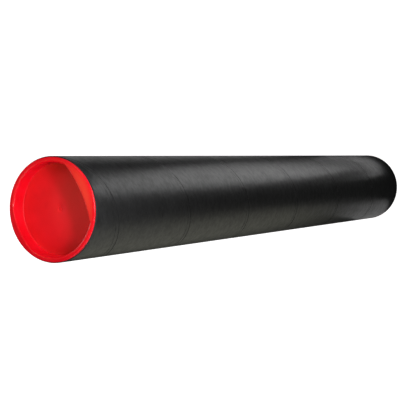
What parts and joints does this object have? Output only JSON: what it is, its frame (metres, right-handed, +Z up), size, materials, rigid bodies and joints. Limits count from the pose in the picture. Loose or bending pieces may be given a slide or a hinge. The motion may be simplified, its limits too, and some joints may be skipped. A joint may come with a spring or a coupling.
{
  "type": "cardboard mailing tube",
  "caption": "Round spiral-wound cardboard mailing tube, closed at both ends by recessed moulded plugs with a grip tab; each plug pulls out along the axis.",
  "frame": {"origin": "centre of the face that the tube stands on, which is the front of the lower plug's flange", "axes": "+Z up along the tube's axis, +X towards the grip tabs of both plugs"},
  "size_m": [0.08, 0.08, 0.6624],
  "materials": {
    "black_paperboard": "matt black paper outside, plain board inside",
    "red_plastic": "satin"
  },
  "bodies": {
    "tube": {"tube": "black_paperboard"},
    "top_plug": {"top_plug": "red_plastic"},
    "bottom_plug": {"bottom_plug": "red_plastic"}
  },
  "joints": [
    {"name": "top_plug_pull", "type": "slide", "parent": "tube", "child": "top_plug", "axis": [0, 0, 1], "range_m": [0, 0.1]},
    {"name": "bottom_plug_pull", "type": "slide", "parent": "tube", "child": "bottom_plug", "axis": [0, 0, -1], "range_m": [0, 0.1]}
  ]
}
